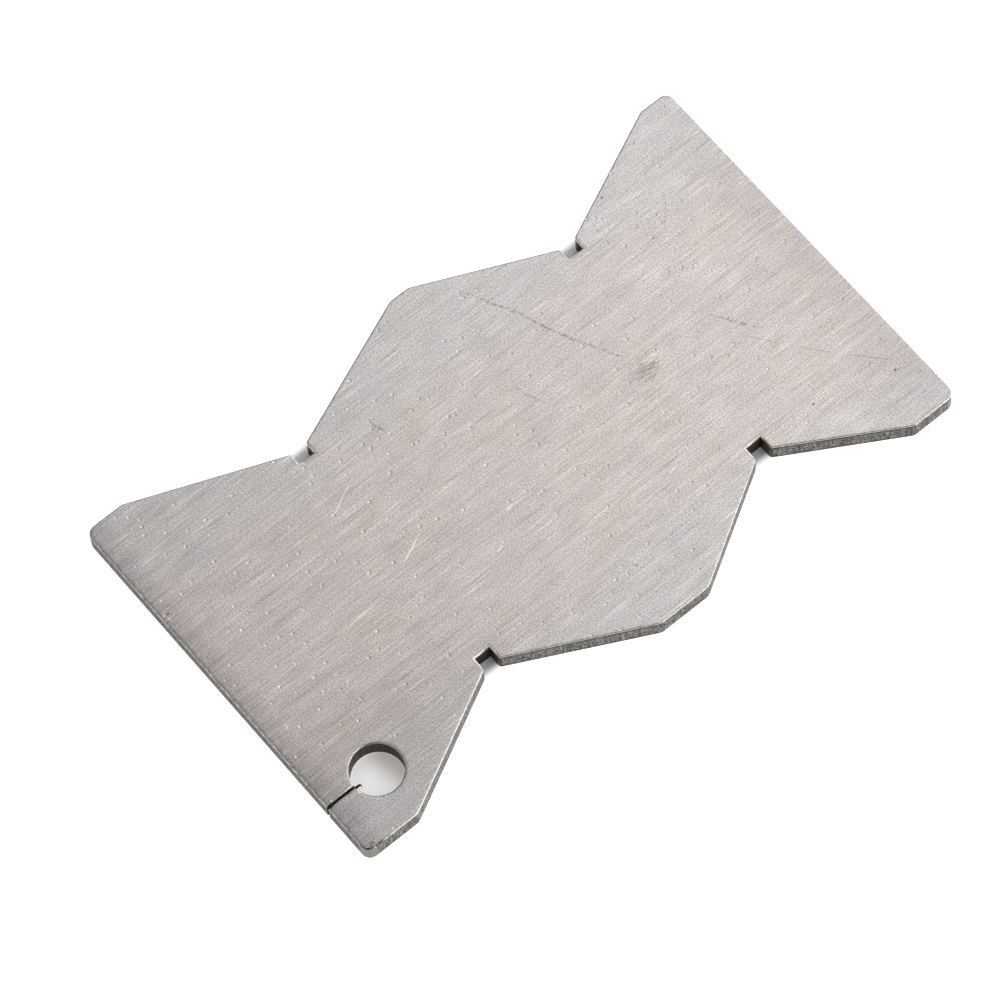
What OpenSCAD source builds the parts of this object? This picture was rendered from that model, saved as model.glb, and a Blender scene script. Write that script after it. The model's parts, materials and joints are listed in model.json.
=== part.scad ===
// Centre gauge: one flat plate of stainless sheet with four notches of set angles,
// held against a ground point to see whether its angle is true.
// The long axis is X, the upper notches are on +Y, and the plate lies on Z = 0.

/* [Plate] */
// Length of the plate from end to end
plate_length = 90; // [86:0.5:120]
// Width of the plate from land to land
plate_width = 53.5; // [40:0.5:80]
// Thickness of the sheet
plate_thickness = 3; // [1:0.1:6]
// Radius of the four end corners
corner_radius = 1.2; // [0.4:0.1:2.5]
// Radius where the side of a notch runs out onto a land
land_radius = 1.5; // [0.2:0.1:3]

/* [Notches] */
// Full angle of the upper left notch in degrees
upper_left_angle = 135; // [90:1:138]
// Full angle of the upper right notch in degrees
upper_right_angle = 130; // [90:1:136]
// Full angle of the lower left notch in degrees
lower_left_angle = 125; // [90:1:132]
// Full angle of the lower right notch in degrees
lower_right_angle = 118; // [90:1:132]
// Depth of the upper notches, from the land to the point where their sides would meet
upper_depth = 8.5; // [5:0.1:9.5]
// Depth of the lower notches, from the land to the point where their sides would meet
lower_depth = 9.6; // [5:0.1:11]
// Distance of the left notches' points from the left end
left_notch_from_end = 26; // [24:0.1:30]
// Distance of the right notches' points from the right end
right_notch_from_end = 22.4; // [21:0.1:26]

/* [Relief slots] */
// Width of the slot that clears a sharp tip at the bottom of a notch
relief_width = 2.2; // [1:0.1:4]
// Depth of the slot past the notch's point
relief_depth = 1.2; // [0.5:0.1:4]
// Radius of the two lips where the slot opens into the notch
relief_lip_radius = 0.6; // [0.1:0.1:1]

/* [Hanging hole] */
// Diameter of the hole for a ring or a hook
hole_diameter = 6.6; // [3:0.1:9]
// Distance of the hole's centre from the left end
hole_from_end = 7.4; // [6:0.1:10]
// Distance of the hole's centre from the lower side
hole_from_side = 7.4; // [6:0.1:10]
// Width of the slit that was cut in from the left end to reach the hole
slit_width = 0.35; // [0.15:0.05:1]

/* [Hidden] */
$fn = 96;
// How far a cutting shape runs past the edge that it opens
overrun = 1;
// What a rounding's disc stands proud of the sides that it joins, so that it crosses them cleanly
tangent_overlap = 0.0005;
left_x = left_notch_from_end - plate_length / 2;
right_x = plate_length / 2 - right_notch_from_end;
hole_x = hole_from_end - plate_length / 2;
hole_y = hole_from_side - plate_width / 2;

// What a rounding takes off an outward corner. along_a and along_b are unit vectors
// down the two sides, with along_b to the left of along_a as seen from the corner.
// A kite about the corner loses the disc that touches both sides.
module corner_waste(corner, along_a, along_b, radius) {
    inward = (along_a + along_b) / norm(along_a + along_b);
    reach = radius / sin(acos(along_a * along_b) / 2);
    out_a = [along_a[1], -along_a[0]];
    out_b = [-along_b[1], along_b[0]];
    translate(corner + reach * inward)
    difference() {
        polygon([
            [0, 0],
            (radius + overrun) * out_a,
            -(reach + overrun) * inward,
            (radius + overrun) * out_b
        ]);
        circle(r = radius + tangent_overlap);
    }
}

// The right half of what is cut out, with the land on Y = 0 and the point below the origin
module half_notch(half_angle, depth) {
    slot = relief_width / 2;
    up_the_side = [sin(half_angle), cos(half_angle)];
    land_corner = depth * [tan(half_angle), 0];
    lip_corner = [slot, slot / tan(half_angle) - depth];
    polygon([
        [0, overrun],
        land_corner + overrun * [tan(half_angle), 1],
        lip_corner,
        [slot, -depth - relief_depth],
        [0, -depth - relief_depth]
    ]);
    corner_waste(land_corner, -up_the_side, [1, 0], land_radius);
    corner_waste(lip_corner, [0, -1], up_the_side, relief_lip_radius);
}

module notch(angle, depth) {
    half_notch(angle / 2, depth);
    mirror([1, 0]) half_notch(angle / 2, depth);
}

// Places a notch on the upper side, or turned over on the lower side
module on_upper_side(x) {
    translate([x, plate_width / 2]) children();
}

module on_lower_side(x) {
    translate([x, -plate_width / 2]) mirror([0, 1]) children();
}

// The rectangle that the gauge is cut from, with its rounded corners
module blank() {
    corner = [plate_length / 2 - corner_radius, plate_width / 2 - corner_radius];
    square([plate_length, 2 * corner[1]], center = true);
    square([2 * corner[0], plate_width], center = true);
    for (sx = [-1, 1], sy = [-1, 1])
        translate([sx * corner[0], sy * corner[1]]) circle(r = corner_radius);
}

// Runs along the hole's own centre line, from the hole out through the left end
module slit() {
    translate([-plate_length / 2 - overrun, hole_y - slit_width / 2])
        square([hole_from_end + overrun, slit_width]);
}

module gauge_plate() {
    color("#bcb7b3")
    linear_extrude(plate_thickness)
    difference() {
        blank();
        on_upper_side(left_x) notch(upper_left_angle, upper_depth);
        on_upper_side(right_x) notch(upper_right_angle, upper_depth);
        on_lower_side(left_x) notch(lower_left_angle, lower_depth);
        on_lower_side(right_x) notch(lower_right_angle, lower_depth);
        translate([hole_x, hole_y]) circle(d = hole_diameter);
        slit();
    }
}

gauge_plate();
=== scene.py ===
"""Looks of a flat stainless gauge plate with four V notches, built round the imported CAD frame."""

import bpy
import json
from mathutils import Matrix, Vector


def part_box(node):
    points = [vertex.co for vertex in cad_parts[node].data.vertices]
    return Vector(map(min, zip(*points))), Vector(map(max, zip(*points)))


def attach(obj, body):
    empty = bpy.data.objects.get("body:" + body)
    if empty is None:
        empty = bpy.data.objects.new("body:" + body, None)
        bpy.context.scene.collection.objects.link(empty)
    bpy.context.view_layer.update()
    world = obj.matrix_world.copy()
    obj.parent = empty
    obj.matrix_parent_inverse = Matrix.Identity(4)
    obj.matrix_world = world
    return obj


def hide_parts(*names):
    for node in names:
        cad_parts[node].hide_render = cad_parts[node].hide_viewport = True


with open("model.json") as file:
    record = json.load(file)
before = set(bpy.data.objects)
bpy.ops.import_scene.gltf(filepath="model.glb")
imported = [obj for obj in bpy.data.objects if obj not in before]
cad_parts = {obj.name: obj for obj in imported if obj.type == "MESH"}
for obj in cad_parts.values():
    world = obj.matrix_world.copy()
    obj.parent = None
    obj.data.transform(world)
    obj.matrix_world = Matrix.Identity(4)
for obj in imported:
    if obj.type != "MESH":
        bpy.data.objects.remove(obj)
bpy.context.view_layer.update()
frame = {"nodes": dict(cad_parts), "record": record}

import json
import math

import bmesh
import bpy
from mathutils import Quaternion, Vector

bl_info = {
    "name": "Centre gauge",
    "version": (1, 0, 0),
    "blender": (4, 5, 0),
    "location": "3D View > Sidebar > Gauge",
    "description": "Builds a stainless centre gauge, its finish and a plain studio",
    "category": "Object",
}

MM = 0.001
NODE = "gauge_plate"
BODY = "root"

# The plate's box and its hanging hole come from the frame. Places on the plate are in mm from its centre.
LOW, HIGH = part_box(NODE)
HALF_LENGTH = HIGH.x / MM
THICKNESS = HIGH.z / MM
HOLE = next(mount for mount in frame["record"]["mounts"] if mount["name"] == "hanging_hole")
HOLE_X, HOLE_Y = (place / MM for place in HOLE["pos_m"][:2])
HOLE_RADIUS = HOLE["dims"]["r_mm"]

# Pale scratches on the upper face: start, end and width in mm.
SCRATCHES = (
    ((-22.3, 8.5), (-16.1, 11.7), 0.22),
    ((-19.5, -1.5), (-14.0, 1.1), 0.30),
    ((-43.7, 23.3), (-39.6, 22.9), 0.24),
    ((-43.2, 18.8), (-39.2, 18.8), 0.22),
    ((-36.4, 11.7), (-31.4, 11.7), 0.22),
    ((-31.4, 6.3), (-24.0, 6.4), 0.20),
    ((-42.4, -9.1), (-42.1, -7.5), 0.24),
    ((-33.5, -9.0), (-33.0, -8.2), 0.24),
    ((-5.6, -3.9), (-4.0, -3.5), 0.30),
    ((-9.4, -7.2), (-8.2, -6.8), 0.30),
    ((12.2, -12.6), (14.0, -12.4), 0.30),
)

# Dull marks from handling on the upper face: start, end and width in mm.
RUBS = (
    ((8.4, 23.2), (13.2, 13.2), 0.42),
    ((11.4, 18.2), (14.8, 8.2), 0.46),
    ((13.0, 12.8), (16.8, 4.8), 0.46),
    ((14.8, 8.8), (19.0, 1.0), 0.42),
    ((5.2, 9.0), (7.5, 3.3), 0.30),
    ((28.6, 1.8), (34.0, -6.6), 0.46),
    ((32.2, 12.1), (36.1, 16.2), 0.35),
    ((0.9, -17.4), (2.6, -20.4), 0.35),
    ((-10.7, 16.9), (-9.5, 12.7), 0.50),
    ((-44.6, -25.6), (-43.2, -26.4), 0.50),
)

# One long hairline on the upper face, as straight lengths: start, end and width in mm.
HAIRLINES = (
    ((30.2, -3.6), (34.4, -9.4), 0.20),
    ((33.6, -8.3), (38.4, -14.4), 0.20),
    ((37.4, -13.2), (43.4, -19.8), 0.20),
)

# Small dark specks on the upper face: centre in mm.
SPECKS = ((31.3, -16.8), (41.6, -19.7), (29.8, 20.8), (-44.0, 12.0))

# The smudge on the upper face: centre and reach in mm.
SMUDGE, SMUDGE_REACH = (19.1, -0.3, THICKNESS), (2.8, 2.4, 1.0)

# Places on both faces that fingers have dulled, and painted shade that darkens them towards the lower left,
# the right end and round the hole: centre and reach in mm, and the share of the reach that is dullest.
THROUGH = 99.0
FINGERED_AND_SHADED = (
    ((-42.0, -18.0, 0.0), (40.0, 13.0, THROUGH), 0.0),
    ((47.0, 0.0, 0.0), (13.0, 40.0, THROUGH), 0.0),
    ((46.0, -20.0, 0.0), (17.0, 16.0, THROUGH), 0.0),
    ((HOLE_X + 1.2, HOLE_Y, 0.0), (3.4, 3.4, THROUGH), 0.6),
)

# Dents and pits in the faces: how far apart they lie and how far each reaches, in mm.
DENT_SPACING, DENT_REACH = 1.7, 0.32
PIT_SPACING, PIT_REACH = 0.95, 0.14

# Range of the brushed grain's light and dark.
GRAIN_LOW, GRAIN_HIGH = 0.91, 1.09

# Places on the cut walls in mm: heat tints, a filed corner, painted shade at the lower slots' bases,
# and the nearly black right walls of the upper slots.
STRAW_ON_RIM, STRAW_IN_SLOT, STRAW_CORNER = (23.9, -17.0, THICKNESS), (23.7, 17.9, 1.9), (44.6, -26.2, 1.0)
BLUE_CORNER, FILED_CORNER = (43.4, -26.75, 0.8), (-45.0, -26.75, 1.5)
SHADED_SLOT_BASES = ((-19.0, -15.9), (22.6, -15.9))
NEAR_BLACK_SLOT_WALLS = ((-17.9, 17.8), (23.6, 17.4))

# The beads of melted steel: start and radius in mm, and the steps that draw each out, with a change of width.
HOOK_START, HOOK_RADIUS = (HOLE_X - HOLE_RADIUS - 0.40, HOLE_Y - 0.16, THICKNESS - 0.25), 0.2
HOOK_STEPS = (
    ((0.35, 0.0, 0.02), 1.0), ((0.30, 0.0, 0.02), 0.9), ((0.26, -0.02, 0.0), 0.95),
    ((0.20, -0.06, -0.12), 1.0), ((0.02, -0.06, -0.30), 0.85), ((-0.04, -0.05, -0.28), 0.6),
)
DROP_START, DROP_RADIUS = (-HALF_LENGTH + 0.60, HOLE_Y + 0.46, THICKNESS - 0.24), 0.22
DROP_STEPS = (((0.10, -0.01, 0.0), 1.1), ((0.14, -0.01, 0.0), 1.0), ((0.10, 0.0, -0.02), 0.6))

# Soft lamps: name, place and aim in metres, width, height, and radiance, where 1 is as bright as white paper.
LAMPS = (
    ("overhead softbox", (0.2175, 0.17, 0.45), (0.2175, 0.17, 0.0), 0.285, 0.5, 0.87),
    ("front strip", (0.38, -0.62, 0.38), (0.0, 0.0, 0.0), 0.8, 0.64, 0.95),
    ("right strip", (0.76, 0.02, 0.32), (0.0, 0.0, 0.0), 0.8, 0.5, 0.92),
)

# Dark places of the room, low down in front and behind: direction, and the cosines where the dark starts and
# where it is full.
DARK_PLACES = (((-0.45, -0.83, 0.33), 0.75, 0.92), ((0.1, 0.97, 0.22), 0.75, 0.95))
DARKEST = 0.15

# The floor's shade below the plate, in mm: its middle line, where it fades on both sides of that, and where
# the part below the slots ends in X.
SHADE_MIDDLE, SHADE_SIDES, SLOTS_END = 1.1, (17.8, 19.2), (28.0, 30.0)

# Shares of the floor's glow that are left below the slots and below the hole.
SLOT_GLOW, HOLE_GLOW = 0.03, 0.46

WHITE = (1.0, 1.0, 1.0, 1.0)
SENSOR_WIDTH = 36.0

# The upright part of a normal: at most this on a wall, and at least this on a flat face.
UPRIGHT, LEVEL = 0.05, 0.98

# The least part of a normal that counts as facing one way.
FACING = 0.9

# A vertex nearer than this to a level lies on it.
NEAR = 0.001 * MM

# Straight cuts that the roll-off at the left end follows.
END_CUTS = 6

# Angle between faces up to which the shading is smooth.
SMOOTH_ANGLE = math.radians(38)

# Places of the finishes in the plate's list of materials. The brushed one is first.
RIM, WALL, SCORCHED = 1, 2, 3

# Kinds of node that the finishes use.
COORDINATES = "ShaderNodeTexCoord"
MAPPING = "ShaderNodeMapping"
SEPARATE = "ShaderNodeSeparateXYZ"
NOISE = "ShaderNodeTexNoise"
CELLS = "ShaderNodeTexVoronoi"
MATH = "ShaderNodeMath"
VECTOR = "ShaderNodeVectorMath"
RANGE = "ShaderNodeMapRange"
MIX = "ShaderNodeMix"
BUMP = "ShaderNodeBump"
PRINCIPLED = "ShaderNodeBsdfPrincipled"
OUTPUT = "ShaderNodeOutputMaterial"

# Sockets of the Mix node when it mixes colours.
SHARE, COLOUR_A, COLOUR_B, MIXED = 0, 6, 7, 2


def linear(hex_colour):
    """An sRGB hex colour such as #c8c1bd as linear red, green, blue and full opacity."""
    levels = [int(hex_colour[i:i + 2], 16) / 255 for i in (1, 3, 5)]
    return [v / 12.92 if v <= 0.04045 else ((v + 0.055) / 1.055) ** 2.4 for v in levels] + [1.0]


def put(tree, kind, settings, sockets):
    """Adds a node of this kind, sets it up, and fills or links its inputs. Gives its outputs."""
    node = tree.nodes.new(kind)
    for name, value in settings.items():
        setattr(node, name, value)
    for key, value in sockets.items():
        if isinstance(value, bpy.types.NodeSocket):
            tree.links.new(value, node.inputs[key])
        else:
            node.inputs[key].default_value = value
    return node.outputs


def new_material(name):
    """A material with an empty node tree."""
    material = bpy.data.materials.new(name)
    material.use_nodes = True
    material.node_tree.nodes.clear()
    return material


def places_in_mm(tree):
    """The place on the object, in mm."""
    place = put(tree, COORDINATES, {}, {})["Object"]
    return put(tree, MAPPING, {}, {"Vector": place, "Scale": (1 / MM, 1 / MM, 1 / MM)})[0]


def mottle(tree, mm, grain, detail, low, high, held=False):
    """A number that varies in grains of this size in mm, mostly between low and high, or always if held."""
    place = put(tree, MAPPING, {}, {"Vector": mm, "Scale": tuple(1 / side for side in grain)})[0]
    noise = put(tree, NOISE, {}, {"Vector": place, "Scale": 1.0, "Detail": detail, "Roughness": 0.6})[0]
    return put(tree, RANGE, {"clamp": held}, {
        "Value": noise, "From Min": 0.3, "From Max": 0.7, "To Min": low, "To Max": high})[0]


def spot(tree, mm, centre, reach, turn=0.0, core=0.3):
    """A share that is one in the core of a spot on the plate and falls to nothing at its reach in mm."""
    near = put(tree, MAPPING, {"vector_type": "TEXTURE"}, {
        "Vector": mm, "Location": centre, "Rotation": (0.0, 0.0, turn), "Scale": reach})[0]
    off = put(tree, VECTOR, {"operation": "LENGTH"}, {0: near})["Value"]
    return put(tree, RANGE, {"interpolation_type": "SMOOTHSTEP"}, {
        "Value": off, "From Min": core, "From Max": 1.0, "To Min": 1.0, "To Max": 0.0})[0]


def strokes(tree, mm, marks):
    """A share that is one along the middle of any of these straight marks on the upper face."""
    share = None
    for (x0, y0), (x1, y1), width in marks:
        one = spot(
            tree, mm, ((x0 + x1) / 2, (y0 + y1) / 2, THICKNESS),
            (math.hypot(x1 - x0, y1 - y0) / 2, width / 2, 1.0), math.atan2(y1 - y0, x1 - x0))
        share = one if share is None else put(tree, MATH, {"operation": "MAXIMUM"}, {0: share, 1: one})[0]
    return share


def product(tree, *factors):
    """All these numbers multiplied."""
    total = factors[0]
    for factor in factors[1:]:
        total = put(tree, MATH, {"operation": "MULTIPLY"}, {0: total, 1: factor})[0]
    return total


def layered(tree, colour, *layers):
    """A colour with others laid over it in turn. Each layer is the share that it covers and its colour."""
    for share, over in layers:
        colour = put(tree, MIX, {"data_type": "RGBA"}, {
            SHARE: share, COLOUR_A: colour, COLOUR_B: over})[MIXED]
    return colour


def metal(tree, colour, roughness, height):
    """Finishes the tree as bare metal. The height of its relief is in mm."""
    normal = put(tree, BUMP, {}, {"Height": height, "Distance": MM, "Strength": 1.0})[0]
    surface = put(tree, PRINCIPLED, {}, {
        "Base Color": colour, "Metallic": 1.0, "Roughness": roughness, "Normal": normal})[0]
    put(tree, OUTPUT, {}, {"Surface": surface})


class PlateSettings(bpy.types.PropertyGroup):
    """Sizes of the finished plate that the CAD solid leaves plain."""

    rim_width: bpy.props.FloatProperty(
        name="Rim width", description="Width of the rounded rim, measured on the face",
        default=0.22 * MM, min=0.0, unit="LENGTH", precision=5)
    rim_depth: bpy.props.FloatProperty(
        name="Rim depth", description="Depth of the rounded rim, measured down the wall",
        default=0.16 * MM, min=0.0, unit="LENGTH", precision=5)
    rim_steps: bpy.props.IntProperty(
        name="Rim steps", description="Facets across the rounded rim", default=4, min=1)
    edge_roll: bpy.props.FloatProperty(
        name="Edge roll", description="Width of the shallow roll-off along every edge of the faces",
        default=0.5 * MM, min=0.0, unit="LENGTH", precision=5)
    edge_drop: bpy.props.FloatProperty(
        name="Edge drop", description="Depth of the shallow roll-off at the edge",
        default=0.02 * MM, min=0.0, unit="LENGTH", precision=5)
    sharp_rim: bpy.props.FloatProperty(
        name="Sharp rim", description="Share of the rim width on the edges that were hardly deburred",
        default=0.3, min=0.0, max=1.0, subtype="FACTOR")
    inner_rim: bpy.props.FloatProperty(
        name="Inner rim", description="Share of the rim width that the hole and the slots have",
        default=1.0, min=0.0, max=1.0, subtype="FACTOR")
    slit_rim: bpy.props.FloatProperty(
        name="Slit rim", description="Share of the rim width that the slit's upper lip has",
        default=0.5, min=0.0, max=1.0, subtype="FACTOR")
    slit_lower_rim: bpy.props.FloatProperty(
        name="Slit's lower rim", description="Share of the rim width that the slit's lower lip has",
        default=0.15, min=0.0, max=1.0, subtype="FACTOR")
    slot_reach: bpy.props.FloatProperty(
        name="Slot reach", description="Walls nearer the middle line than this are in a relief slot",
        default=18.3 * MM, min=0.0, unit="LENGTH", precision=5)
    end_roll: bpy.props.FloatProperty(
        name="End roll", description="How far from the left end the face starts to roll off",
        default=3.0 * MM, min=0.0, unit="LENGTH", precision=5)
    end_drop: bpy.props.FloatProperty(
        name="End drop", description="How far the face has dropped at the left end",
        default=0.2 * MM, min=0.0, unit="LENGTH", precision=5)


class FinishSettings(bpy.types.PropertyGroup):
    """Colours of the plate's surfaces."""

    steel: bpy.props.FloatVectorProperty(
        name="Brushed steel", description="Colour of the brushed faces",
        subtype="COLOR", size=4, min=0.0, max=1.0, default=linear("#c9c5c4"))
    warm_steel: bpy.props.FloatVectorProperty(
        name="Warmer steel", description="Warmer colour of the middle of the faces",
        subtype="COLOR", size=4, min=0.0, max=1.0, default=linear("#ccc4c0"))
    rim_steel: bpy.props.FloatVectorProperty(
        name="Burnished rim", description="Colour of the rounded rims",
        subtype="COLOR", size=4, min=0.0, max=1.0, default=linear("#ece8e4"))
    cut_steel: bpy.props.FloatVectorProperty(
        name="Cut edge", description="Colour of the cut walls",
        subtype="COLOR", size=4, min=0.0, max=1.0, default=linear("#6c6964"))
    # Besides dark marks, this colour paints shade on some walls, at the lower slots' bases and on the hook.
    dark_marks_and_shade: bpy.props.FloatVectorProperty(
        name="Lip of the cut", description="Colour of the dark lips at the top and foot of the walls",
        subtype="COLOR", size=4, min=0.0, max=1.0, default=linear("#3a342e"))
    filed_steel: bpy.props.FloatVectorProperty(
        name="Filed corner", description="Colour of the corner that was filed smooth",
        subtype="COLOR", size=4, min=0.0, max=1.0, default=linear("#86817b"))
    scorched_steel: bpy.props.FloatVectorProperty(
        name="Scorched cut", description="Colour of the walls in the hole, the slots and the slit",
        subtype="COLOR", size=4, min=0.0, max=1.0, default=linear("#4b433c"))
    near_black: bpy.props.FloatVectorProperty(
        name="Near black", description="Colour of the blackest walls, on the right of the upper slots",
        subtype="COLOR", size=4, min=0.0, max=1.0, default=linear("#1c1815"))
    straw_tint: bpy.props.FloatVectorProperty(
        name="Straw tint", description="Heat tint of the steel beside the cuts",
        subtype="COLOR", size=4, min=0.0, max=1.0, default=linear("#a88c5c"))
    blue_tint: bpy.props.FloatVectorProperty(
        name="Blue tint", description="Heat tint of the steel where the cut was hottest",
        subtype="COLOR", size=4, min=0.0, max=1.0, default=linear("#6b667c"))
    stain: bpy.props.FloatVectorProperty(
        name="Oil stain", description="Colour of the faces where old oil has dried",
        subtype="COLOR", size=4, min=0.0, max=1.0, default=linear("#c9c4b9"))
    rub: bpy.props.FloatVectorProperty(
        name="Rub marks", description="Colour of the dull marks on the upper face",
        subtype="COLOR", size=4, min=0.0, max=1.0, default=linear("#979089"))


class StageSettings(bpy.types.PropertyGroup):
    """Floor, light and camera."""

    floor_colour: bpy.props.FloatVectorProperty(
        name="Floor", description="Colour of the floor",
        subtype="COLOR", size=4, min=0.0, max=1.0, default=linear("#f8f8f8"))
    hole_shade: bpy.props.FloatVectorProperty(
        name="Shade in the hole", description="Colour of the floor's glow in the shade of the hole's wall",
        subtype="COLOR", size=4, min=0.0, max=1.0, default=linear("#fff3e6"))
    floor_width: bpy.props.FloatProperty(
        name="Floor width", description="Side of the square floor", default=16.0, unit="LENGTH")
    floor_glow: bpy.props.FloatProperty(
        name="Floor glow", description="How much of the floor's white doesn't depend on the lamps",
        default=0.82, min=0.0, max=1.0, subtype="FACTOR")
    aim: bpy.props.FloatVectorProperty(
        name="Aim", description="Point that the camera looks at", subtype="XYZ", unit="LENGTH",
        default=(-4.597 * MM, -1.686 * MM, 1.5 * MM), precision=6)
    azimuth: bpy.props.FloatProperty(
        name="Azimuth", description="Direction of the camera seen from above, from the X axis",
        default=math.radians(-122.944), subtype="ANGLE")
    elevation: bpy.props.FloatProperty(
        name="Elevation", description="Height of the camera above the floor, as an angle",
        default=math.radians(65.792), subtype="ANGLE")
    roll: bpy.props.FloatProperty(
        name="Roll", description="Turn of the camera about its own axis",
        default=math.radians(-6.990), subtype="ANGLE")
    distance: bpy.props.FloatProperty(
        name="Distance", description="From the camera to the aim", default=751.98 * MM, unit="LENGTH")
    lens: bpy.props.FloatProperty(
        name="Lens", description="Focal length in mm on a 36 mm wide sensor", default=227.86, min=1.0)


def brushed_stainless(colours):
    """Stainless sheet, belt-brushed lengthwise: satin, with pale and dark streaks, pits and scratches."""
    material = new_material("brushed stainless sheet")
    tree = material.node_tree
    mm = places_in_mm(tree)
    parts = put(tree, SEPARATE, {}, {"Vector": mm})

    # Belt grit leaves lines of about 0.05 mm. They are drawn a few times as wide, so that they show.
    grain = mottle(tree, mm, (8.0, 0.18, 1.0), 1.5, GRAIN_LOW, GRAIN_HIGH)
    speckle = mottle(tree, mm, (0.22, 0.16, 1.0), 1.0, 0.71, 1.29)
    streak = mottle(tree, mm, (22.0, 0.9, 1.0), 2.0, 0.95, 1.05)
    cloud = mottle(tree, mm, (9.0, 7.0, 9.0), 2.0, 0.0, 1.0)
    patch = mottle(tree, mm, (3.0, 1.8, 3.0), 3.0, 0.94, 1.06)

    # Coarser grit left single lines, pale and dark, with gaps between them.
    pale_lines = mottle(tree, mm, (6.0, 0.11, 1.0), 0.0, -2.6, 1.0)
    pale_lines = put(tree, MATH, {"operation": "MAXIMUM"}, {0: pale_lines, 1: 0.0})[0]
    dark_lines = mottle(tree, mm, (5.0, 0.12, 1.3), 0.0, -2.6, 1.0)
    dark_lines = put(tree, MATH, {"operation": "MAXIMUM"}, {0: dark_lines, 1: 0.0})[0]
    lines = put(tree, MATH, {"operation": "MULTIPLY_ADD"}, {0: pale_lines, 1: 0.17, 2: 1.0})[0]
    lines = put(tree, MATH, {"operation": "MULTIPLY_ADD"}, {0: dark_lines, 1: -0.12, 2: lines})[0]

    # The face is warmer along a band in its middle, which slants a little.
    slanted = put(tree, MATH, {"operation": "MULTIPLY_ADD"}, {0: parts["X"], 1: 0.03, 2: parts["Y"]})[0]
    off_middle = put(tree, MATH, {"operation": "ADD"}, {0: slanted, 1: 2.0})[0]
    off_middle = put(tree, MATH, {"operation": "ABSOLUTE"}, {0: off_middle})[0]
    ragged = put(tree, MATH, {"operation": "MULTIPLY_ADD"}, {0: cloud, 1: 6.0, 2: off_middle})[0]
    warm = put(tree, RANGE, {"interpolation_type": "SMOOTHSTEP"}, {
        "Value": ragged, "From Min": 14.5, "From Max": 23.5, "To Min": 1.0, "To Max": 0.0})[0]

    # Old oil has left a few faint yellow stains.
    stained = mottle(tree, mm, (6.0, 4.5, 6.0), 3.0, -0.5, 0.5)
    stained = put(tree, MATH, {"operation": "MAXIMUM"}, {0: stained, 1: 0.0})[0]

    # Marks from use lie on the upper face only. They wander a little and break up.
    wander = put(tree, NOISE, {}, {"Vector": mm, "Scale": 1 / 1.5, "Detail": 2.0, "Roughness": 0.6})["Color"]
    shift = put(tree, VECTOR, {"operation": "MULTIPLY_ADD"}, {
        0: wander, 1: (0.6, 0.6, 0.0), 2: (-0.3, -0.3, 0.0)})[0]
    wandering = put(tree, VECTOR, {"operation": "ADD"}, {0: mm, 1: shift})[0]
    gaps = mottle(tree, mm, (0.7, 0.5, 0.7), 2.0, 0.0, 1.1)
    dashes = mottle(tree, mm, (0.8, 0.17, 0.7), 1.0, -0.7, 1.5, True)
    rubbed = product(tree, strokes(tree, wandering, RUBS), dashes)
    smudge = product(tree, spot(tree, wandering, SMUDGE, SMUDGE_REACH, 0.0, 0.1), dashes)
    hairline = product(tree, strokes(tree, mm, HAIRLINES), 0.5)
    for mark in (smudge, hairline):
        rubbed = put(tree, MATH, {"operation": "MAXIMUM", "use_clamp": True}, {0: rubbed, 1: mark})[0]
    layers = [(warm, colours.warm_steel), (stained, colours.stain), (rubbed, colours.rub)]
    for x, y in SPECKS:
        speck = product(tree, spot(tree, mm, (x, y, THICKNESS), (0.28, 0.24, 1.0)), 0.7)
        layers.append((speck, colours.dark_marks_and_shade))
    colour = layered(tree, colours.steel, *layers)
    scratched = strokes(tree, mm, SCRATCHES)

    # A narrow band along every edge is darker: heat tint, handling and painted shade of the rolled-off edge.
    wear_and_shade = put(tree, "ShaderNodeAttribute", {"attribute_name": "edge_wear_and_shade"}, {})["Fac"]
    dull = put(tree, MATH, {"operation": "MULTIPLY_ADD"}, {0: product(tree, wear_and_shade, gaps), 1: -0.50, 2: 1.0})[0]
    # Finger marks, and painted shade: darker towards the lower left, the right end and round the hole.
    fingered_and_shaded = 0.0
    for centre, reach, core in FINGERED_AND_SHADED:
        fingered_and_shaded = put(tree, MATH, {"operation": "MAXIMUM"}, {
            0: fingered_and_shaded, 1: spot(tree, mm, centre, reach, 0.0, core)})[0]
    handled_and_shaded = put(tree, MATH, {"operation": "MULTIPLY_ADD"}, {0: fingered_and_shaded, 1: -0.14, 2: 1.0})[0]

    # Pits and dents: a ball at a random place dents the face where the face cuts it.
    balls = []
    for spacing, reach in ((DENT_SPACING, DENT_REACH), (PIT_SPACING, PIT_REACH)):
        cells = put(tree, CELLS, {}, {"Vector": mm, "Scale": 1 / spacing, "Randomness": 1.0})["Distance"]
        balls.append(put(tree, RANGE, {"interpolation_type": "SMOOTHSTEP"}, {
            "Value": cells, "From Min": 0.0, "From Max": reach / spacing, "To Min": 1.0, "To Max": 0.0})[0])
    dent, pit = balls
    darker = put(tree, MATH, {"operation": "MULTIPLY_ADD"}, {0: pit, 1: -0.16, 2: 1.0})[0]
    bruised = put(tree, MATH, {"operation": "MULTIPLY_ADD"}, {0: dent, 1: 0.42, 2: 1.0})[0]
    brighter = put(tree, MATH, {"operation": "MULTIPLY_ADD"}, {0: scratched, 1: 0.55, 2: bruised})[0]

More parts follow.
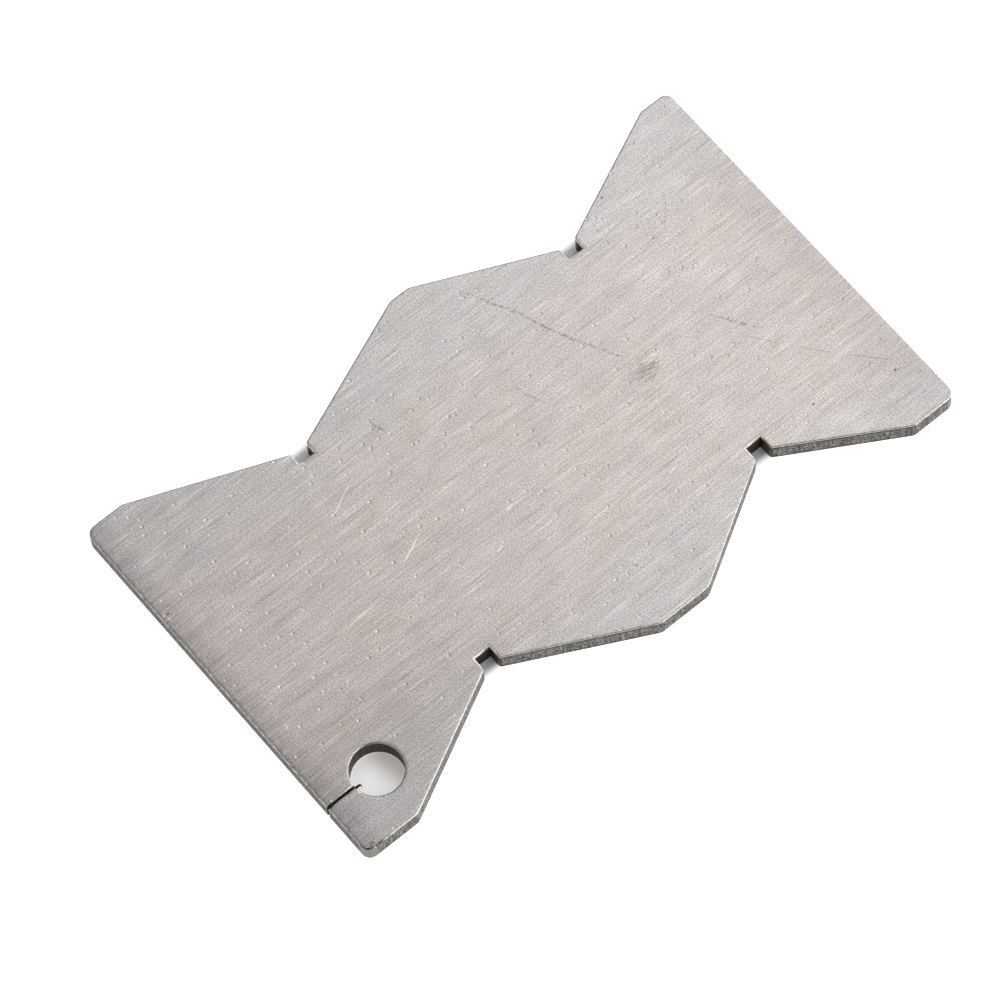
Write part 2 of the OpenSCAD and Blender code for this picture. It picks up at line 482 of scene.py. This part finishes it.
    light = product(tree, grain, speckle, lines, streak, patch, dull, handled_and_shaded, darker, brighter)
    colour = put(tree, VECTOR, {"operation": "SCALE"}, {0: colour, "Scale": light})[0]
    height = put(tree, MATH, {"operation": "MULTIPLY"}, {0: grain, 1: 0.02})[0]
    for relief, depth in ((dent, -0.05), (pit, -0.015), (scratched, -0.01)):
        height = put(tree, MATH, {"operation": "MULTIPLY_ADD"}, {0: relief, 1: depth, 2: height})[0]
    rough = put(tree, RANGE, {}, {
        "Value": grain, "From Min": GRAIN_LOW, "From Max": GRAIN_HIGH, "To Min": 0.33, "To Max": 0.43})[0]
    metal(tree, colour, rough, height)
    return material


def burnished_rim(colours):
    """Rims of the cut, knocked smooth: brighter than the face and uneven, so the light breaks along them."""
    material = new_material("burnished stainless rim")
    tree = material.node_tree
    mm = places_in_mm(tree)
    light = mottle(tree, mm, (0.4, 0.4, 0.4), 2.0, 0.7, 1.15, True)
    colour = put(tree, VECTOR, {"operation": "SCALE"}, {0: tuple(colours.rim_steel)[:3], "Scale": light})[0]
    straw = spot(tree, mm, STRAW_ON_RIM, (0.5, 1.3, 0.6))
    # The lower left corner is scuffed dull, and the left end is worn in places.
    chips = mottle(tree, mm, (0.5, 0.5, 0.5), 2.0, -0.3, 1.5, True)
    corner = spot(tree, mm, (-44.0, -26.6, THICKNESS), (3.6, 2.2, 1.5))
    end = product(tree, spot(tree, mm, (-HALF_LENGTH, 0.0, THICKNESS), (1.2, 40.0, 9.0), 0.0, 0.7), 0.4)
    scuffed = product(tree, put(tree, MATH, {"operation": "MAXIMUM"}, {0: corner, 1: end})[0], chips)
    scuffed = put(tree, MATH, {"operation": "MAXIMUM"}, {0: scuffed, 1: 0.0})[0]
    colour = layered(tree, colour, (straw, colours.straw_tint), (scuffed, colours.dark_marks_and_shade))
    height = put(tree, MATH, {"operation": "MULTIPLY"}, {0: light, 1: 0.02})[0]
    metal(tree, colour, 0.24, height)
    return material


def melted_bead(colours):
    """A bead of steel that melted in the cut: smooth and shiny, so it catches the lamps."""
    material = new_material("melted stainless bead")
    tree = material.node_tree
    mm = places_in_mm(tree)
    light = mottle(tree, mm, (0.2, 0.2, 0.2), 2.0, 0.85, 1.05, True)
    colour = put(tree, VECTOR, {"operation": "SCALE"}, {0: tuple(colours.rim_steel)[:3], "Scale": light})[0]
    height = put(tree, MATH, {"operation": "MULTIPLY"}, {0: light, 1: 0.01})[0]
    metal(tree, colour, 0.18, height)
    return material


def cut_edge(colours):
    """Stainless cut through by heat: dull grey, speckled light and dark, with short upright streaks."""
    material = new_material("cut stainless edge")
    tree = material.node_tree
    place = put(tree, COORDINATES, {}, {})
    mm = put(tree, MAPPING, {}, {"Vector": place["Object"], "Scale": (1 / MM, 1 / MM, 1 / MM)})[0]
    up = put(tree, SEPARATE, {}, {"Vector": mm})["Z"]
    speckle = mottle(tree, mm, (0.24, 0.24, 0.5), 2.0, 0.0, 2.0)
    speckle = put(tree, MATH, {"operation": "MAXIMUM"}, {0: speckle, 1: 0.12})[0]
    streak = mottle(tree, mm, (0.25, 0.25, 4.0), 2.0, 0.55, 1.45)

    # Painted shade on the walls that face the lower left: dark bands a third of a millimetre high,
    # a dark reflection below the rim and a contact shadow at the foot.
    towards = put(tree, VECTOR, {"operation": "DOT_PRODUCT"}, {
        0: place["Normal"], 1: (-0.48, -0.877, 0.0)})["Value"]
    shade_facing = put(tree, RANGE, {"interpolation_type": "SMOOTHSTEP"}, {
        "Value": towards, "From Min": 0.93, "From Max": 0.97})[0]
    uneven = put(tree, MATH, {"operation": "MULTIPLY_ADD"}, {0: speckle, 1: 0.1, 2: up})[0]
    top = put(tree, RANGE, {"interpolation_type": "SMOOTHSTEP"}, {
        "Value": uneven, "From Min": THICKNESS - 0.55, "From Max": THICKNESS - 0.3})[0]
    foot = put(tree, RANGE, {"interpolation_type": "SMOOTHSTEP"}, {
        "Value": uneven, "From Min": 0.35, "From Max": 0.8, "To Min": 1.0, "To Max": 0.0})[0]
    lips = put(tree, MATH, {"operation": "MAXIMUM"}, {0: top, 1: foot})[0]
    painted_shade_lips = product(tree, lips, shade_facing)

    # The wall of the left end is darker. Heat tints lie at the right corner, and one corner was filed.
    dark_end = spot(tree, mm, (-HALF_LENGTH, 0.0, THICKNESS / 2), (0.6, 40.0, 9.0), 0.0, 0.7)
    straw = spot(tree, mm, STRAW_CORNER, (1.2, 1.2, 2.0))
    blue = spot(tree, mm, BLUE_CORNER, (0.8, 0.8, 1.0))
    filed = spot(tree, mm, FILED_CORNER, (1.9, 1.9, 9.0), 0.0, 0.7)
    colour = layered(
        tree, colours.cut_steel, (painted_shade_lips, colours.dark_marks_and_shade),
        (product(tree, dark_end, 0.45), colours.dark_marks_and_shade), (straw, colours.straw_tint),
        (blue, colours.blue_tint), (filed, colours.filed_steel))
    plain = put(tree, MATH, {"operation": "MULTIPLY"}, {0: filed, 1: 0.8})[0]
    light = put(tree, MIX, {}, {0: plain, 2: product(tree, speckle, streak), 3: 1.0})[0]
    colour = put(tree, VECTOR, {"operation": "SCALE"}, {0: colour, "Scale": light})[0]
    height = put(tree, MATH, {"operation": "MULTIPLY"}, {0: light, 1: 0.02})[0]
    metal(tree, colour, 0.5, height)
    return material


def scorched_cut(colours, steel=None):
    """Stainless darkened by the heat of a tight cut: brown-grey oxide, dull, with upright streaks."""
    material = new_material("scorched stainless cut")
    tree = material.node_tree
    mm = places_in_mm(tree)
    streak = mottle(tree, mm, (0.3, 0.3, 2.0), 3.0, 0.6, 1.4)
    light = product(tree, streak, mottle(tree, mm, (0.3, 0.3, 0.3), 2.0, 0.7, 1.3))
    layers = [(spot(tree, mm, STRAW_IN_SLOT, (0.5, 0.7, 1.1)), colours.straw_tint)]
    # The bases of the lower slots are painted nearly black: painted shade deep in the slots.
    for x, y in SHADED_SLOT_BASES:
        painted_shade_base = spot(tree, mm, (x, y, THICKNESS / 2), (1.6, 0.5, 9.0), 0.0, 0.6)
        layers.append((painted_shade_base, colours.dark_marks_and_shade))
    # The right walls of the upper slots are nearly black.
    for x, y in NEAR_BLACK_SLOT_WALLS:
        near_black_wall = spot(tree, mm, (x, y, THICKNESS / 2), (0.6, 1.2, 9.0), 0.0, 0.5)
        layers.append((near_black_wall, colours.near_black))
    colour = layered(tree, steel or colours.scorched_steel, *layers)
    colour = put(tree, VECTOR, {"operation": "SCALE"}, {0: colour, "Scale": light})[0]
    height = put(tree, MATH, {"operation": "MULTIPLY"}, {0: light, 1: 0.02})[0]
    metal(tree, colour, 0.55, height)
    return material


def studio_floor(stage):
    """Matt pale card. What shows its background, the eye and the metal's reflection, sees it nearly white."""
    material = new_material("pale card floor")
    tree = material.node_tree
    mm = places_in_mm(tree)
    path = put(tree, "ShaderNodeLightPath", {}, {})
    seen = put(tree, MATH, {"operation": "MAXIMUM"}, {
        0: path["Is Camera Ray"], 1: path["Is Glossy Ray"]})[0]
    seen = put(tree, MATH, {"operation": "MAXIMUM"}, {0: seen, 1: path["Is Transmission Ray"]})[0]

    # Below the plate the floor glows less, so that its shade shows through the hole and the slots.
    parts = put(tree, SEPARATE, {}, {"Vector": mm})
    off_middle = put(tree, MATH, {"operation": "SUBTRACT"}, {0: parts["Y"], 1: SHADE_MIDDLE})[0]
    off_middle = put(tree, MATH, {"operation": "ABSOLUTE"}, {0: off_middle})[0]
    beside = put(tree, RANGE, {"interpolation_type": "SMOOTHSTEP"}, {
        "Value": off_middle, "From Min": SHADE_SIDES[0], "From Max": SHADE_SIDES[1]})[0]
    past_end = put(tree, MATH, {"operation": "ABSOLUTE"}, {0: parts["X"]})[0]
    past_end = put(tree, RANGE, {}, {
        "Value": past_end, "From Min": SLOTS_END[0], "From Max": SLOTS_END[1]})[0]
    in_open = put(tree, MATH, {"operation": "MAXIMUM"}, {0: beside, 1: past_end})[0]
    below_hole = spot(tree, mm, (HOLE_X + 0.4, HOLE_Y + 0.6, 0.0), (6.0, 6.0, 9.0), 0.0, 0.6)
    in_open = put(tree, MATH, {"operation": "SUBTRACT", "use_clamp": True}, {0: in_open, 1: below_hole})[0]
    least = put(tree, MIX, {}, {0: past_end, 2: SLOT_GLOW, 3: HOLE_GLOW})[0]
    glow = put(tree, RANGE, {}, {
        "Value": in_open, "To Min": product(tree, least, stage.floor_glow), "To Max": stage.floor_glow})[0]
    # Painted shadow beside the hole's far wall: the glow dims there and turns warm.
    painted_shade_by_far_wall = spot(tree, mm, (HOLE_X + 5.0, HOLE_Y + 0.8, 0.0), (6.0, 6.0, 9.0), 0.0, 0.45)
    dimmed = put(tree, MATH, {"operation": "MULTIPLY_ADD"}, {0: painted_shade_by_far_wall, 1: -0.44, 2: 1.0})[0]
    glow = product(tree, seen, glow, dimmed)
    surface = put(tree, PRINCIPLED, {}, {
        "Base Color": stage.floor_colour, "Roughness": 1.0, "Specular IOR Level": 0.0,
        "Emission Color": layered(tree, WHITE, (painted_shade_by_far_wall, stage.hole_shade)),
        "Emission Strength": glow})[0]
    put(tree, OUTPUT, {}, {"Surface": surface})
    return material


def clear_selection():
    """Leaves object mode with nothing selected."""
    if bpy.context.mode != "OBJECT":
        bpy.ops.object.mode_set(mode="OBJECT")
    bpy.ops.object.select_all(action="DESELECT")


def work_on(piece):
    """Makes this piece the only selected one, in edit mode, with all of it selected."""
    clear_selection()
    piece.select_set(True)
    bpy.context.view_layer.objects.active = piece
    bpy.ops.object.mode_set(mode="EDIT")
    bpy.ops.mesh.select_all(action="SELECT")


def pick(piece, kind, wanted):
    """In edit mode, selects only the vertices, edges or faces that are wanted."""
    bpy.ops.mesh.select_mode(type=kind)
    bpy.ops.mesh.select_all(action="DESELECT")
    shape = bmesh.from_edit_mesh(piece.data)
    shape.normal_update()
    parts = {"VERT": shape.verts, "EDGE": shape.edges, "FACE": shape.faces}[kind]
    found = [part for part in parts if wanted(part)]
    if not found:
        raise RuntimeError(f"nothing to select on {piece.name}")
    for part in found:
        part.select_set(True)
    shape.select_flush_mode()
    bmesh.update_edit_mesh(piece.data)


def is_wall(face):
    """True for a face that stands upright."""
    return abs(face.normal.z) < UPRIGHT


def is_flat(face):
    """True for a face that belongs to the upper or lower side of the plate."""
    return abs(face.normal.z) > LEVEL


def is_rim(edge):
    """True for an edge between a wall and one of the two flat faces."""
    return len(edge.link_faces) == 2 and sum(is_wall(face) for face in edge.link_faces) == 1


def faces_lower_left(normal):
    """True for the walls and rims of the two arms of the lower notches that face the lower left."""
    flat = math.hypot(normal.x, normal.y)
    return flat > UPRIGHT and normal.x < -0.35 * flat and normal.y < -0.75 * flat


def is_sharp_rim(edge):
    """True for a rim that was hardly deburred: on those two arms and at the right end."""
    wall = next(face for face in edge.link_faces if is_wall(face))
    return faces_lower_left(wall.normal) or middle(edge).x > HIGH.x - 0.1 * MM


def in_hole(place):
    """True for a place on the wall of the hanging hole."""
    return math.hypot(place.x / MM - HOLE_X, place.y / MM - HOLE_Y) < HOLE_RADIUS + 0.05


def in_slit(place):
    """True for a place on the walls of the slit, between the left end and the hole."""
    return place.x / MM < HOLE_X - HOLE_RADIUS and abs(place.y / MM - HOLE_Y) < 0.3


def in_slot(place, reach):
    """True for a place on the walls of a relief slot."""
    return abs(place.y) < reach and abs(place.x) < HIGH.x - 12 * MM


def middle(edge):
    """The middle of an edge."""
    return (edge.verts[0].co + edge.verts[1].co) / 2


class GAUGE_OT_plate(bpy.types.Operator):
    """Model the plate from the CAD solid, with rounded rims and a rolled-off end"""

    bl_idname = "gauge.plate"
    bl_label = "Plate"
    bl_options = {"REGISTER", "UNDO"}

    def execute(self, context):
        sizes = context.scene.gauge_plate
        colours = context.scene.gauge_finish
        plate = bpy.data.objects.new("stainless_plate", frame["nodes"][NODE].data.copy())
        plate.data.name = plate.name
        context.scene.collection.objects.link(plate)
        plate.data.materials.clear()
        for finish in (brushed_stainless, burnished_rim, cut_edge, scorched_cut):
            plate.data.materials.append(finish(colours))
        work_on(plate)
        bpy.ops.mesh.remove_doubles(threshold=0.0001 * MM)
        bpy.ops.mesh.dissolve_limited(angle_limit=math.radians(0.3), delimit={"NORMAL"})
        self.roll_edges(plate, sizes)
        self.roll_end(plate, sizes)
        self.round_rims(plate, sizes)
        self.finish(plate, sizes)
        self.mark_wear_and_shade(plate)
        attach(plate, BODY)
        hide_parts(NODE)
        return {"FINISHED"}

    def roll_edges(self, plate, sizes):
        """Rolls off a narrow ring along every edge of both faces, as brushing does."""
        pick(plate, "FACE", lambda face: not is_wall(face))
        bpy.ops.mesh.inset(thickness=sizes.edge_roll, use_boundary=True, use_even_offset=True)
        for level, drop in ((HIGH.z, -sizes.edge_drop), (LOW.z, sizes.edge_drop)):
            pick(plate, "VERT", lambda v: abs(v.co.z - level) < NEAR and any(map(is_wall, v.link_faces)))
            bpy.ops.transform.translate(value=(0.0, 0.0, drop))

    def roll_end(self, plate, sizes):
        """Rolls the upper face off towards the left end, along a parabola that straight cuts follow."""
        for i in range(1, END_CUTS + 1):
            pick(plate, "FACE", lambda face: face.normal.z > FACING)
            bpy.ops.mesh.bisect(
                plane_co=(LOW.x + sizes.end_roll * i / END_CUTS, 0.0, 0.0), plane_no=(1.0, 0.0, 0.0))
        limit = LOW.x + sizes.end_roll - 0.01 * MM
        shape = bmesh.from_edit_mesh(plate.data)
        lines = {round(v.co.x / MM, 3) for v in shape.verts if v.co.z > HIGH.z / 2 and v.co.x < limit}
        for line in sorted(lines):
            pick(plate, "VERT", lambda v: v.co.z > HIGH.z / 2 and abs(v.co.x / MM - line) < 0.002)
            share = 1 - (line * MM - LOW.x) / sizes.end_roll
            bpy.ops.transform.translate(value=(0.0, 0.0, -sizes.end_drop * share ** 2))

    def round_rims(self, plate, sizes):
        """Rounds the rims on a stretched plate, because they are wider on the face than down the wall."""
        stretch = sizes.rim_width / sizes.rim_depth
        bpy.ops.mesh.select_all(action="SELECT")
        bpy.ops.transform.resize(value=(1.0, 1.0, stretch), center_override=(0.0, 0.0, 0.0))
        pick(plate, "EDGE", is_rim)
        bpy.ops.transform.edge_bevelweight(value=1.0)
        for share, test in (
                (sizes.sharp_rim, is_sharp_rim),
                (sizes.inner_rim, lambda e: in_slot(middle(e), sizes.slot_reach) or in_hole(middle(e))),
                (sizes.slit_rim, lambda e: in_slit(middle(e))),
                (sizes.slit_lower_rim, lambda e: in_slit(middle(e)) and middle(e).y / MM < HOLE_Y)):
            pick(plate, "EDGE", lambda e: is_rim(e) and test(e))
            bpy.ops.transform.edge_bevelweight(value=-1.0)
            bpy.ops.transform.edge_bevelweight(value=share)
        bpy.ops.object.mode_set(mode="OBJECT")
        rounding = plate.modifiers.new("rounded rims", "BEVEL")
        rounding.limit_method = "WEIGHT"
        rounding.width = sizes.rim_width
        rounding.segments = sizes.rim_steps
        rounding.use_clamp_overlap = False
        bpy.ops.object.modifier_apply(modifier=rounding.name)
        work_on(plate)
        bpy.ops.transform.resize(value=(1.0, 1.0, 1 / stretch), center_override=(0.0, 0.0, 0.0))

    def finish(self, plate, sizes):
        """Gives the rims, the walls and the scorched walls their own finishes, and evens the shading."""
        def is_scorched(face):
            place = face.calc_center_median()
            return is_wall(face) and (in_hole(place) or in_slit(place) or in_slot(place, sizes.slot_reach))

        finishes = ((RIM, lambda face: not is_flat(face)), (WALL, is_wall), (SCORCHED, is_scorched))
        for index, wanted in finishes:
            pick(plate, "FACE", wanted)
            plate.active_material_index = index
            bpy.ops.object.material_slot_assign()

        bpy.ops.object.mode_set(mode="OBJECT")
        bpy.ops.object.shade_smooth_by_angle(angle=SMOOTH_ANGLE)
        weighted = plate.modifiers.new("even shading", "WEIGHTED_NORMAL")
        weighted.mode = "FACE_AREA"
        weighted.weight = 100
        weighted.keep_sharp = True
        bpy.ops.object.modifier_apply(modifier=weighted.name)

    def mark_wear_and_shade(self, plate):
        """Marks the rims for the darker edge band, partly painted shade, fading across the rolled-off ring.
        """
        worn_and_shaded = {
            i for face in plate.data.polygons if face.material_index and not faces_lower_left(face.normal)
            for i in face.vertices}
        wear_and_shade = plate.data.attributes.new("edge_wear_and_shade", "FLOAT", "POINT")
        for i in worn_and_shaded:
            wear_and_shade.data[i].value = 1.0


class GAUGE_OT_beads(bpy.types.Operator):
    """Model the two beads of melted steel that the cut left: a hook in the hole and a drop on the lip"""

    bl_idname = "gauge.beads"
    bl_label = "Cut beads"
    bl_options = {"REGISTER", "UNDO"}

    def execute(self, context):
        colours = context.scene.gauge_finish
        hook = self.drawn("slit_hook", HOOK_START, HOOK_RADIUS, HOOK_STEPS)
        # The hook takes the darkest colour: scorched oxide, and painted shade where it lies in shadow.
        self.finish(hook, scorched_cut(colours, colours.dark_marks_and_shade))
        drop = self.drawn("lip_drop", DROP_START, DROP_RADIUS, DROP_STEPS)
        self.finish(drop, melted_bead(colours))
        return {"FINISHED"}

    def drawn(self, name, start, radius, steps):
        """A short eight-sided rod along X at its start, whose right end is drawn out in steps."""
        clear_selection()
        bpy.ops.mesh.primitive_cylinder_add(
            vertices=8, radius=radius * MM, depth=0.1 * MM, location=[side * MM for side in start],
            rotation=(0.0, math.pi / 2, 0.0))
        piece = bpy.context.object
        piece.name = name
        piece.data.name = name
        bpy.ops.object.transform_apply(location=True, rotation=True, scale=True)
        work_on(piece)
        pick(piece, "FACE", lambda face: face.normal.x > FACING)
        for step, size in steps:
            bpy.ops.mesh.extrude_region_move(TRANSFORM_OT_translate={"value": [side * MM for side in step]})
            bpy.ops.transform.resize(value=(size, size, size))
        return piece

    def finish(self, piece, material):
        """Rounds the bead, gives it its finish and lets it ride on the plate's body."""
        bpy.ops.object.mode_set(mode="OBJECT")
        rounding = piece.modifiers.new("melted", "SUBSURF")
        rounding.levels = 2
        rounding.render_levels = 2
        bpy.ops.object.modifier_apply(modifier=rounding.name)
        bpy.ops.object.shade_smooth()
        piece.data.materials.append(material)
        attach(piece, BODY)


def softbox(name, place, aim, width, height, radiance):
    """A soft white lamp, rectangular, at its place and turned to its aim."""
    bpy.ops.object.light_add(type="AREA", location=place)
    lamp = bpy.context.object
    lamp.name = name
    lamp.data.name = name
    lamp.data.shape = "RECTANGLE"
    lamp.data.size = width
    lamp.data.size_y = height
    lamp.data.energy = radiance * math.pi * width * height
    lamp.rotation_euler = (Vector(aim) - Vector(place)).to_track_quat("-Z", "Y").to_euler()
    lamp.visible_camera = False


class GAUGE_OT_stage(bpy.types.Operator):
    """Set the floor, the lamps, the world and the camera"""

    bl_idname = "gauge.stage"
    bl_label = "Stage"
    bl_options = {"REGISTER", "UNDO"}

    def execute(self, context):
        stage = context.scene.gauge_stage
        clear_selection()
        bpy.ops.mesh.primitive_plane_add(size=stage.floor_width)
        floor = context.object
        floor.name = "studio_floor"
        floor.data.name = floor.name
        work_on(floor)
        bpy.ops.transform.translate(value=(0.0, 0.0, LOW.z - 0.02 * MM))
        bpy.ops.object.mode_set(mode="OBJECT")
        floor.data.materials.append(studio_floor(stage))

        for lamp in LAMPS:
            softbox(*lamp)

        # The room is lighter above and to the right.
        world = bpy.data.worlds.new("soft studio")
        context.scene.world = world
        world.use_nodes = True
        tree = world.node_tree
        tree.nodes.clear()
        towards = put(tree, COORDINATES, {}, {})["Generated"]
        side = put(tree, VECTOR, {"operation": "DOT_PRODUCT"}, {0: towards, 1: (0.5, 0.1, 0.86)})["Value"]
        strength = put(tree, RANGE, {"interpolation_type": "SMOOTHSTEP"}, {
            "Value": side, "From Min": -0.1, "From Max": 0.95, "To Min": 0.22, "To Max": 0.57})[0]
        for direction, starts, full in DARK_PLACES:
            near = put(tree, VECTOR, {"operation": "DOT_PRODUCT"}, {0: towards, 1: direction})["Value"]
            shade = put(tree, RANGE, {"interpolation_type": "SMOOTHSTEP"}, {
                "Value": near, "From Min": starts, "From Max": full, "To Min": 1.0, "To Max": DARKEST})[0]
            strength = product(tree, strength, shade)
        sky = put(tree, "ShaderNodeBackground", {}, {"Color": WHITE, "Strength": strength})[0]
        put(tree, "ShaderNodeOutputWorld", {}, {"Surface": sky})

        flat = math.cos(stage.elevation)
        away = Vector((
            flat * math.cos(stage.azimuth), flat * math.sin(stage.azimuth), math.sin(stage.elevation)))
        level = (-away).to_track_quat("-Z", "Y")
        bpy.ops.object.camera_add(location=Vector(stage.aim) + away * stage.distance)
        camera = context.object
        camera.name = "camera"
        camera.rotation_euler = (level @ Quaternion((0.0, 0.0, 1.0), stage.roll)).to_euler()
        camera.data.sensor_width = SENSOR_WIDTH
        camera.data.lens = stage.lens
        camera.data.clip_start = 0.01
        context.scene.camera = camera
        context.scene.view_settings.view_transform = "Standard"
        return {"FINISHED"}


class GAUGE_PT_panel(bpy.types.Panel):
    """Lists the pieces and the stage"""

    bl_idname = "GAUGE_PT_panel"
    bl_label = "Centre gauge"
    bl_space_type = "VIEW_3D"
    bl_region_type = "UI"
    bl_category = "Gauge"

    def draw(self, context):
        for operator in OPERATORS:
            self.layout.operator(operator.bl_idname)


SETTINGS = {"gauge_plate": PlateSettings, "gauge_finish": FinishSettings, "gauge_stage": StageSettings}
OPERATORS = (GAUGE_OT_plate, GAUGE_OT_beads, GAUGE_OT_stage)


def register():
    """Registers the settings, the operators and the panel."""
    for name, group in SETTINGS.items():
        bpy.utils.register_class(group)
        setattr(bpy.types.Scene, name, bpy.props.PointerProperty(type=group))
    for cls in OPERATORS + (GAUGE_PT_panel,):
        bpy.utils.register_class(cls)


def unregister():
    """Takes back all that register added."""
    for cls in (GAUGE_PT_panel,) + OPERATORS[::-1]:
        bpy.utils.unregister_class(cls)
    for name, group in SETTINGS.items():
        delattr(bpy.types.Scene, name)
        bpy.utils.unregister_class(group)


def main():
    """Builds the whole scene."""
    register()
    bpy.ops.gauge.plate()
    bpy.ops.gauge.beads()
    bpy.ops.gauge.stage()


if __name__ == "__main__":
    main()
